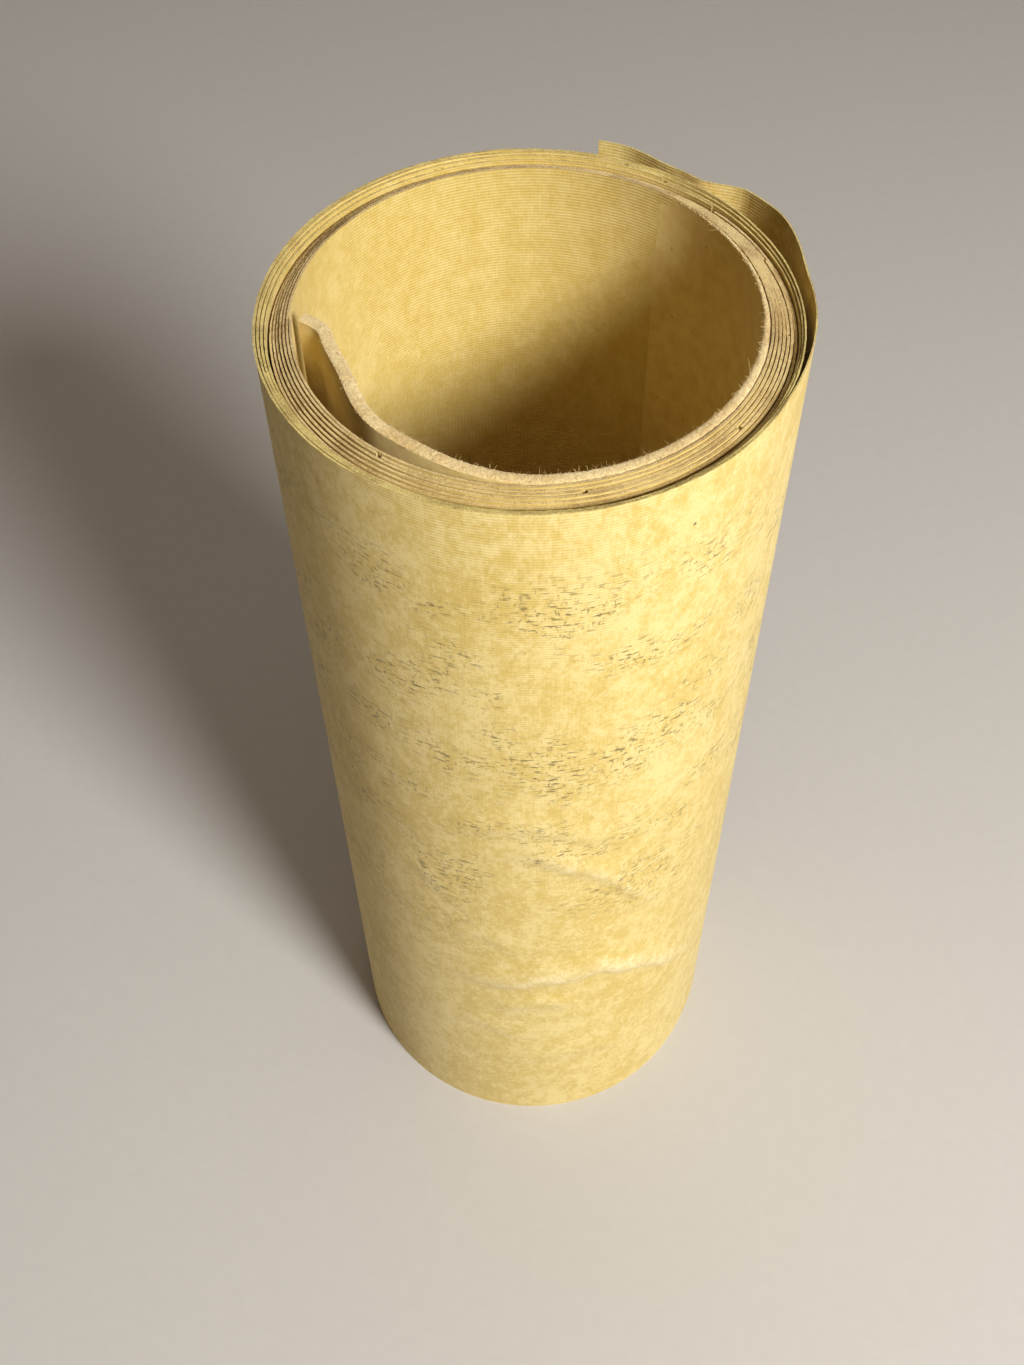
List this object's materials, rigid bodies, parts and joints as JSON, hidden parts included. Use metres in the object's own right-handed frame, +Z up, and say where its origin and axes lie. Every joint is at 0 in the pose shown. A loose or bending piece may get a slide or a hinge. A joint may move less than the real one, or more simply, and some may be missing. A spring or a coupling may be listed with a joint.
{
  "type": "roll of coated cloth sheets",
  "caption": "Loose free-standing roll of thin yellow coated cloth sheets wound into a tube, with a thick soft sheet lining the bore and a lifted outer end",
  "frame": {"origin": "centre of the foot of the whole object's box, on the surface that it stands on", "axes": "+Z is up along the roll, -Y is the front, and the outer sheet's lifted end is at the back, towards +X"},
  "size_m": [0.0928, 0.0934, 0.23],
  "materials": {
    "coated_cloth": "matt, thinly coated, fine plain weave, mottled",
    "soft_cloth": "matt, soft and fibrous, with a fuzzy cut edge"
  },
  "bodies": {
    "outer_sheet": {"outer_sheet": "coated_cloth"},
    "inner_lining": {"inner_lining": "soft_cloth"},
    "sheet_01": {"sheet_01": "coated_cloth"},
    "sheet_02": {"sheet_02": "coated_cloth"},
    "sheet_03": {"sheet_03": "coated_cloth"},
    "sheet_04": {"sheet_04": "coated_cloth"},
    "sheet_05": {"sheet_05": "coated_cloth"},
    "sheet_06": {"sheet_06": "coated_cloth"},
    "sheet_07": {"sheet_07": "coated_cloth"},
    "sheet_08": {"sheet_08": "coated_cloth"},
    "sheet_09": {"sheet_09": "coated_cloth"}
  },
  "joints": [
    {"name": "inner_lining_pull", "type": "slide", "parent": "outer_sheet", "child": "inner_lining", "axis": [0, 0, 1], "range_m": [0, 0.23]},
    {"name": "sheet_01_pull", "type": "slide", "parent": "outer_sheet", "child": "sheet_01", "axis": [0, 0, 1], "range_m": [0, 0.23]},
    {"name": "sheet_02_pull", "type": "slide", "parent": "outer_sheet", "child": "sheet_02", "axis": [0, 0, 1], "range_m": [0, 0.23]},
    {"name": "sheet_03_pull", "type": "slide", "parent": "outer_sheet", "child": "sheet_03", "axis": [0, 0, 1], "range_m": [0, 0.23]},
    {"name": "sheet_04_pull", "type": "slide", "parent": "outer_sheet", "child": "sheet_04", "axis": [0, 0, 1], "range_m": [0, 0.23]},
    {"name": "sheet_05_pull", "type": "slide", "parent": "outer_sheet", "child": "sheet_05", "axis": [0, 0, 1], "range_m": [0, 0.23]},
    {"name": "sheet_06_pull", "type": "slide", "parent": "outer_sheet", "child": "sheet_06", "axis": [0, 0, 1], "range_m": [0, 0.23]},
    {"name": "sheet_07_pull", "type": "slide", "parent": "outer_sheet", "child": "sheet_07", "axis": [0, 0, 1], "range_m": [0, 0.23]},
    {"name": "sheet_08_pull", "type": "slide", "parent": "outer_sheet", "child": "sheet_08", "axis": [0, 0, 1], "range_m": [0, 0.23]},
    {"name": "sheet_09_pull", "type": "slide", "parent": "outer_sheet", "child": "sheet_09", "axis": [0, 0, 1], "range_m": [0, 0.23]}
  ]
}
